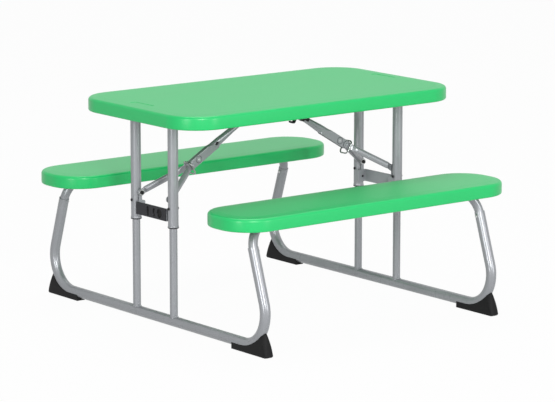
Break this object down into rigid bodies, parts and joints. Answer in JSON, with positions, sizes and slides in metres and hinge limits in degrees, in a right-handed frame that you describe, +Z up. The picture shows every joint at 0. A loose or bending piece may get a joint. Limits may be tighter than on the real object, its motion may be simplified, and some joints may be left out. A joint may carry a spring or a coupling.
{
  "type": "kids picnic table",
  "caption": "Small picnic table with attached side benches, bent tube end frames, and folding upper legs held by braces with lock rings.",
  "frame": {"origin": "middle of the footprint, on the floor", "axes": "+X along the table top and the benches, +Y across the table from the near bench to the far bench, +Z up"},
  "size_m": [0.836, 0.894, 0.5334],
  "materials": {
    "green_top": "light green moulded plastic, satin top with a softly glossy rim",
    "green_seat": "light green moulded plastic with a satin seat and softly glossy rim",
    "grey_steel": "steel tube with a smooth silver-grey powder coat",
    "grey_sheet": "stamped steel sheet with a silver-grey powder coat",
    "zinc": "bright zinc-plated steel",
    "black_plastic": "dark charcoal moulded plastic"
  },
  "bodies": {
    "base": {"frame_left": "grey_steel", "frame_right": "grey_steel", "upright_left_near": "grey_steel", "upright_left_far": "grey_steel", "upright_right_near": "grey_steel", "upright_right_far": "grey_steel", "foot_left_near": "black_plastic", "foot_left_far": "black_plastic", "foot_right_near": "black_plastic", "foot_right_far": "black_plastic", "bench_tube_near": "grey_steel", "bench_tube_far": "grey_steel", "bench_near": "green_seat", "bench_far": "green_seat", "joint_screw_left_near": "zinc", "joint_screw_left_far": "zinc", "joint_screw_right_near": "zinc", "joint_screw_right_far": "zinc", "bench_saddle_left_near": "zinc", "bench_saddle_left_far": "zinc", "bench_saddle_right_near": "zinc", "bench_saddle_right_far": "zinc"},
    "top": {"tabletop": "green_top", "brace_bracket": "grey_sheet", "leg_saddle_left_near": "zinc", "leg_saddle_left_far": "zinc", "leg_saddle_right_near": "zinc", "leg_saddle_right_far": "zinc"},
    "left_leg": {"leg_left": "grey_steel", "cross_plate_left": "grey_sheet", "cross_insert_left": "black_plastic", "leg_ring_left_near": "black_plastic", "leg_ring_left_far": "black_plastic", "leg_rivet_left_near": "black_plastic", "leg_rivet_left_far": "black_plastic"},
    "left_upper_brace": {"upper_arm_left": "grey_steel", "stop_rivet_left": "zinc"},
    "left_lower_brace": {"lower_arm_left_near": "grey_steel", "lower_arm_left_far": "grey_steel", "knee_pin_left": "zinc", "brace_bolt_left_near": "black_plastic", "brace_bolt_left_far": "black_plastic"},
    "left_lock": {"lock_ring_left": "zinc"},
    "right_leg": {"leg_right": "grey_steel", "cross_plate_right": "grey_sheet", "cross_insert_right": "black_plastic", "leg_ring_right_near": "black_plastic", "leg_ring_right_far": "black_plastic", "leg_rivet_right_near": "black_plastic", "leg_rivet_right_far": "black_plastic"},
    "right_upper_brace": {"upper_arm_right": "grey_steel", "stop_rivet_right": "zinc", "brace_clip": "black_plastic"},
    "right_lower_brace": {"lower_arm_right_near": "grey_steel", "lower_arm_right_far": "grey_steel", "knee_pin_right": "zinc", "brace_bolt_right_near": "black_plastic", "brace_bolt_right_far": "black_plastic"},
    "right_lock": {"lock_ring_right": "zinc"}
  },
  "joints": [
    {"name": "top_lift", "type": "slide", "parent": "base", "child": "top", "axis": [0, 0, 1], "range_m": [0, 0.2]},
    {"name": "left_fold", "type": "hinge", "parent": "top", "child": "left_leg", "pos_m": [-0.347, 0, 0.506], "axis": [0, -1, 0], "range_deg": [0, 90]},
    {"name": "left_brace_turn", "type": "hinge", "parent": "top", "child": "left_upper_brace", "pos_m": [-0.014, 0, 0.508], "axis": [0, 1, 0], "range_deg": [0, 30.76]},
    {"name": "left_knee", "type": "hinge", "parent": "left_upper_brace", "child": "left_lower_brace", "pos_m": [-0.23879, 0, 0.37421], "axis": [0, -1, 0], "range_deg": [0, 180]},
    {"name": "left_lock_slide", "type": "slide", "parent": "left_upper_brace", "child": "left_lock", "axis": [0.8593, 0, 0.5114], "range_m": [0, 0.0625]},
    {"name": "right_fold", "type": "hinge", "parent": "top", "child": "right_leg", "pos_m": [0.347, 0, 0.506], "axis": [0, 1, 0], "range_deg": [0, 90]},
    {"name": "right_brace_turn", "type": "hinge", "parent": "top", "child": "right_upper_brace", "pos_m": [0.014, 0, 0.508], "axis": [0, -1, 0], "range_deg": [0, 30.76]},
    {"name": "right_knee", "type": "hinge", "parent": "right_upper_brace", "child": "right_lower_brace", "pos_m": [0.23879, 0, 0.37421], "axis": [0, 1, 0], "range_deg": [0, 180]},
    {"name": "right_lock_slide", "type": "slide", "parent": "right_upper_brace", "child": "right_lock", "axis": [-0.8593, 0, 0.5114], "range_m": [0, 0.0625]}
  ],
  "couplings": [
    {"joint": "left_brace_turn", "follows": "left_fold", "ratio": 0.34177},
    {"joint": "left_knee", "follows": "left_fold", "ratio": 2},
    {"joint": "left_lock_slide", "follows": "left_fold", "m_per_rad": 0.039789},
    {"joint": "right_brace_turn", "follows": "right_fold", "ratio": 0.34177},
    {"joint": "right_knee", "follows": "right_fold", "ratio": 2},
    {"joint": "right_lock_slide", "follows": "right_fold", "m_per_rad": 0.039789}
  ]
}
